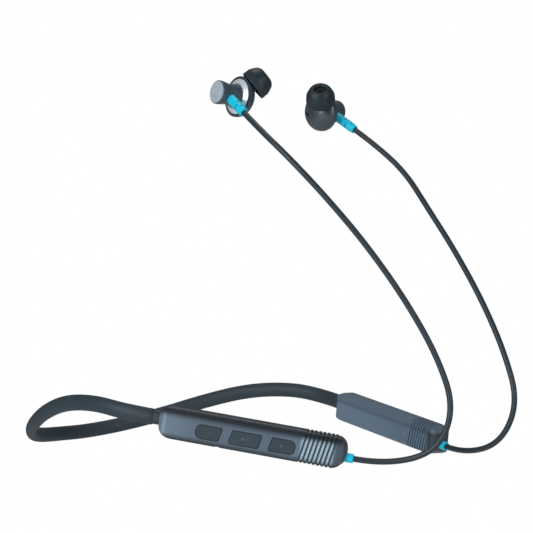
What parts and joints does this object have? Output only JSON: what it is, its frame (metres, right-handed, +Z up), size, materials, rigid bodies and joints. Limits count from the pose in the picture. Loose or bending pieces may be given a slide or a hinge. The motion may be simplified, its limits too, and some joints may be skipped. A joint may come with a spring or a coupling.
{
  "type": "neckband earphones",
  "caption": "Wireless neckband earphones: a flexible band with a control pod and a battery pod, and two cabled in-ear buds.",
  "frame": {"origin": "the middle of the band's inner face behind the wearer's neck", "axes": "+X is the wearer's front, +Y the wearer's left and +Z up, with the set as it is worn"},
  "size_m": [0.2214, 0.158, 0.1621],
  "materials": {
    "band_silicone": "satin soft-touch silicone",
    "spring_steel": "drawn",
    "wire_cover": "matte",
    "pod_shell": "satin, fine texture",
    "key_plastic": "satin",
    "circuit_board": "solder mask",
    "plated_steel": "bright",
    "chip_resin": "moulded",
    "flap_rubber": "matte",
    "anchor_plastic": "satin",
    "bright_plastic": "gloss cyan",
    "cell_pouch": "foil",
    "light_window": "frosted",
    "cable_rubber": "satin",
    "brushed_cap": "brushed",
    "bud_black": "gloss",
    "trim_silver": "polished",
    "film": "thin film",
    "tip_silicone": "satin silicone"
  },
  "bodies": {
    "neckband": {"band_sleeve": "band_silicone", "band_core_wire": "spring_steel", "band_harness": "wire_cover"},
    "control_arm": {"control_outer_shell": "pod_shell", "control_inner_shell": "pod_shell", "control_board": "circuit_board", "key_switches": "plated_steel", "board_chips": "chip_resin", "usb_port": "plated_steel", "control_band_anchor": "anchor_plastic", "control_cable_ring": "bright_plastic", "control_screws": "plated_steel", "right_cable": "cable_rubber", "right_end_cap": "brushed_cap", "right_barrel": "bud_black", "right_trim_ring": "trim_silver", "right_bowl": "bud_black", "right_vent_screen": "plated_steel", "right_driver_frame": "chip_resin", "right_driver_magnet": "plated_steel", "right_diaphragm": "film", "right_nozzle_mesh": "plated_steel", "right_strain_relief": "bright_plastic"},
    "battery_arm": {"battery_inner_shell": "pod_shell", "battery_outer_shell": "pod_shell", "battery_cell": "cell_pouch", "battery_board": "circuit_board", "status_light": "light_window", "status_lamp": "chip_resin", "microphone": "plated_steel", "battery_band_anchor": "anchor_plastic", "battery_cable_ring": "bright_plastic", "battery_screws": "plated_steel", "left_cable": "cable_rubber", "left_end_cap": "brushed_cap", "left_barrel": "bud_black", "left_trim_ring": "trim_silver", "left_bowl": "bud_black", "left_vent_screen": "plated_steel", "left_driver_frame": "chip_resin", "left_driver_magnet": "plated_steel", "left_diaphragm": "film", "left_nozzle_mesh": "plated_steel", "left_strain_relief": "bright_plastic"},
    "volume_down_key": {"volume_down_key": "key_plastic"},
    "play_key": {"play_key": "key_plastic"},
    "volume_up_key": {"volume_up_key": "key_plastic"},
    "usb_flap": {"usb_flap": "flap_rubber"},
    "right_ear_tip": {"right_ear_tip": "tip_silicone"},
    "left_ear_tip": {"left_ear_tip": "tip_silicone"}
  },
  "joints": [
    {"name": "control_arm_flex", "type": "hinge", "parent": "neckband", "child": "control_arm", "pos_m": [0.0105, -0.0346, 0.0032], "axis": [0, 0, -1], "range_deg": [-3, 15], "stiffness_Nm_per_rad": 0.6, "deforming": ["band_sleeve", "band_core_wire", "band_harness"]},
    {"name": "battery_arm_flex", "type": "hinge", "parent": "neckband", "child": "battery_arm", "pos_m": [0.0105, 0.0346, 0.0032], "axis": [0, 0, 1], "range_deg": [-3, 15], "stiffness_Nm_per_rad": 0.6},
    {"name": "volume_down_key_press", "type": "slide", "parent": "control_arm", "child": "volume_down_key", "axis": [-0.4133, 0.9106, 0], "range_m": [0, 0.0003], "stiffness_N_per_m": 1500},
    {"name": "play_key_press", "type": "slide", "parent": "control_arm", "child": "play_key", "axis": [-0.4133, 0.9106, 0], "range_m": [0, 0.0003], "stiffness_N_per_m": 1500},
    {"name": "volume_up_key_press", "type": "slide", "parent": "control_arm", "child": "volume_up_key", "axis": [-0.4133, 0.9106, 0], "range_m": [0, 0.0003], "stiffness_N_per_m": 1500},
    {"name": "usb_flap_hinge", "type": "hinge", "parent": "control_arm", "child": "usb_flap", "pos_m": [0.11529, -0.06508, 0.005], "axis": [-0.4133, 0.9106, 0], "range_deg": [0, 110], "stiffness_Nm_per_rad": 0.002},
    {"name": "right_ear_tip_pull", "type": "slide", "parent": "control_arm", "child": "right_ear_tip", "axis": [0.6466, 0.4466, 0.6184], "range_m": [0, 0.008]},
    {"name": "left_ear_tip_pull", "type": "slide", "parent": "battery_arm", "child": "left_ear_tip", "axis": [0.3854, -0.6848, 0.6184], "range_m": [0, 0.008]}
  ],
  "couplings": [
    {"joint": "battery_arm_flex", "follows": "control_arm_flex", "ratio": 1}
  ]
}
